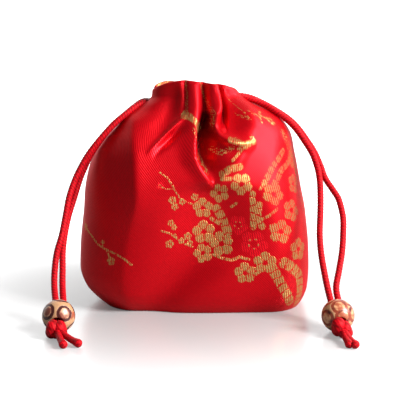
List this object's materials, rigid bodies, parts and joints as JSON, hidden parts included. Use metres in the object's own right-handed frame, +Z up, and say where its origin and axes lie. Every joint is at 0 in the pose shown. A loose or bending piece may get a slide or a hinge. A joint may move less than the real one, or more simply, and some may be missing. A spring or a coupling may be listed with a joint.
{
  "type": "drawstring gift bag",
  "caption": "Small gathered brocade pouch with a hem casing, a drawcord out of each side, and a wooden bead and stop knot on the cord ends; holds a small gift.",
  "frame": {"origin": "on the surface the bag stands on, in the middle of the pouch's outline", "axes": "+Z up, -Y to the front that the picture shows, +X to its right"},
  "size_m": [0.1149, 0.1015, 0.0892],
  "materials": {
    "brocade": "red satin brocade with gold figures",
    "cord": "satin braided knotting cord",
    "bead_wood": "varnished, with burnt rings"
  },
  "bodies": {
    "root": {"pouch": "brocade", "drawcord_left": "cord", "drawcord_right": "cord", "bead_left": "bead_wood", "bead_right": "bead_wood", "knot_left": "cord", "knot_right": "cord"}
  },
  "joints": []
}
